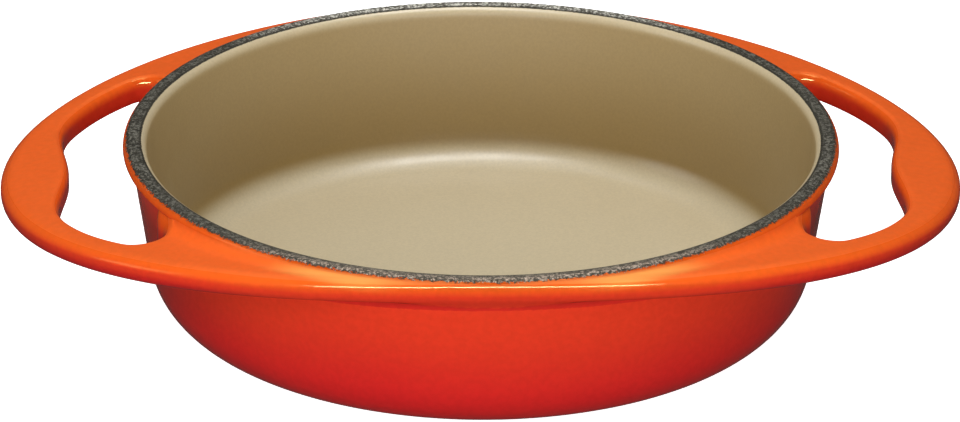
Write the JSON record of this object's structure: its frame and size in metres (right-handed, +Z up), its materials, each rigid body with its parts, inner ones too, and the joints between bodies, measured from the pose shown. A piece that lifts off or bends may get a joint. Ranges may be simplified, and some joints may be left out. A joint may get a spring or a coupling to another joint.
{
  "type": "tarte tatin dish",
  "caption": "Round enamelled cast-iron baking dish with a drafted wall, a rounded rim bead and a drooping oval handle plate with a grip opening at each end.",
  "frame": {"origin": "middle of the flat base, on the surface that the dish stands on", "axes": "+X along the handles, +Y across the dish, +Z up out of the mouth"},
  "size_m": [0.3538, 0.264, 0.0662],
  "materials": {
    "cast_iron": "as cast, sealed under the enamel",
    "exterior_enamel": "glossy, orange above fading to red below",
    "interior_enamel": "satin sand",
    "ground_coat": "matte dark grey, granular",
    "base_enamel": "satin red"
  },
  "bodies": {
    "root": {"cast_iron_body": "cast_iron", "exterior_enamel": "exterior_enamel", "interior_enamel": "interior_enamel", "rim_ground_coat": "ground_coat", "base_enamel": "base_enamel"}
  },
  "joints": []
}
